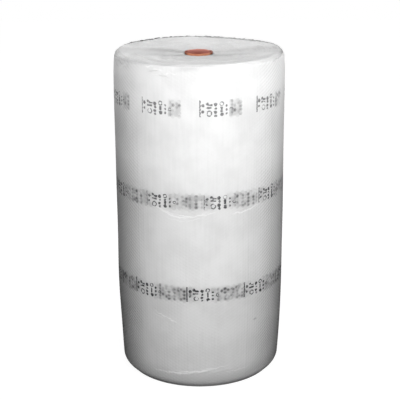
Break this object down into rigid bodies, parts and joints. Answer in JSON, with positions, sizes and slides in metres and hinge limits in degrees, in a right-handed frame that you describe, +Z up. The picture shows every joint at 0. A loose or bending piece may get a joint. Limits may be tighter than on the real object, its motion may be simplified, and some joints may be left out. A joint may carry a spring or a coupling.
{
  "type": "bubble wrap roll",
  "caption": "Large upright roll of clear small-bubble packing film wound on a cardboard tube, with rows of plain grey print marks around it.",
  "frame": {"origin": "on the roll's axis, at the floor it stands on", "axes": "+Z up along the axis, -Y towards the pictured front, +X to its right"},
  "size_m": [0.516, 0.5184, 1],
  "materials": {
    "core_tube": "matte spiral-wound board",
    "bubble_film": "soft gloss milky bubble film with grey printed marks"
  },
  "bodies": {
    "root": {"core_tube": "core_tube", "bubble_film_roll": "bubble_film"}
  },
  "joints": []
}
